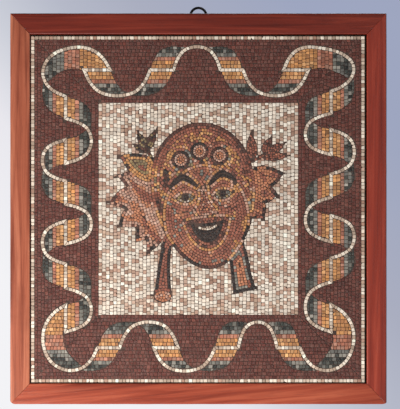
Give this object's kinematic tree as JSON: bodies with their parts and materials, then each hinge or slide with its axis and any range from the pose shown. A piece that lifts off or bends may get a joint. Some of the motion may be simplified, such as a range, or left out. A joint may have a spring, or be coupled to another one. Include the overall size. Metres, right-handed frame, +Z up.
{
  "type": "mosaic panel",
  "caption": "Framed stone mosaic panel with a folded ribbon border and a wreathed theatre mask, hung from an eye plate on its back.",
  "frame": {"origin": "at the hanging mount: the inner top of the ring, where a nail or hook bears", "axes": "+X to the viewer's right along the width, +Z up, +Y out of the back towards the wall; the picture faces -Y"},
  "size_m": [0.52, 0.0266, 0.5508],
  "materials": {
    "frame_wood": "reddish stained hardwood, satin varnish, fine grain along each rail",
    "back_board": "bare plywood",
    "hanger_bronze": "dark patinated metal",
    "screw_steel": "plain steel",
    "mortar": "grey-brown cement grout, matt",
    "stone_cream": "honed limestone cubes, cream to pinkish white",
    "stone_ground": "honed dark red-brown stone cubes",
    "stone_ribbon": "honed stone cubes in stripes: ochre, orange-red, grey and dark green",
    "stone_field": "honed cream-white stone cubes mixed with brown-pink and beige ones",
    "stone_terracotta": "honed stone cubes, reddish brown to orange",
    "stone_olive": "honed stone cubes, ochre, olive, pink and grey",
    "stone_black": "honed black stone cubes"
  },
  "bodies": {
    "root": {"frame_rail_top": "frame_wood", "frame_rail_bottom": "frame_wood", "frame_rail_right": "frame_wood", "frame_rail_left": "frame_wood", "hanger": "hanger_bronze", "hanger_screw_left": "screw_steel", "hanger_screw_right": "screw_steel", "backing_board": "back_board", "mortar_bed": "mortar", "mask_teeth": "stone_cream", "mask_mouth": "stone_black", "mask_lips": "stone_terracotta", "mask_nose": "stone_terracotta", "mask_pupil_left": "stone_black", "mask_pupil_right": "stone_black", "mask_eye_left": "stone_olive", "mask_eye_right": "stone_olive", "mask_brow_left": "stone_black", "mask_brow_right": "stone_black", "garland_rosette_1": "stone_olive", "garland_rosette_2": "stone_olive", "garland_rosette_3": "stone_olive", "mask_face": "stone_terracotta", "mask_hair": "stone_olive", "twig_left": "stone_black", "leaf_left": "stone_olive", "vine_leaf_left": "stone_terracotta", "twig_right": "stone_terracotta", "vine_leaf_right": "stone_terracotta", "tie_left_end": "stone_terracotta", "tie_left": "stone_terracotta", "tie_right": "stone_olive", "field": "stone_field", "ribbon_line": "stone_cream", "ribbon": "stone_ribbon", "ground_outer": "stone_ground", "ground_inner": "stone_ground", "edge_line": "stone_cream"}
  },
  "joints": []
}
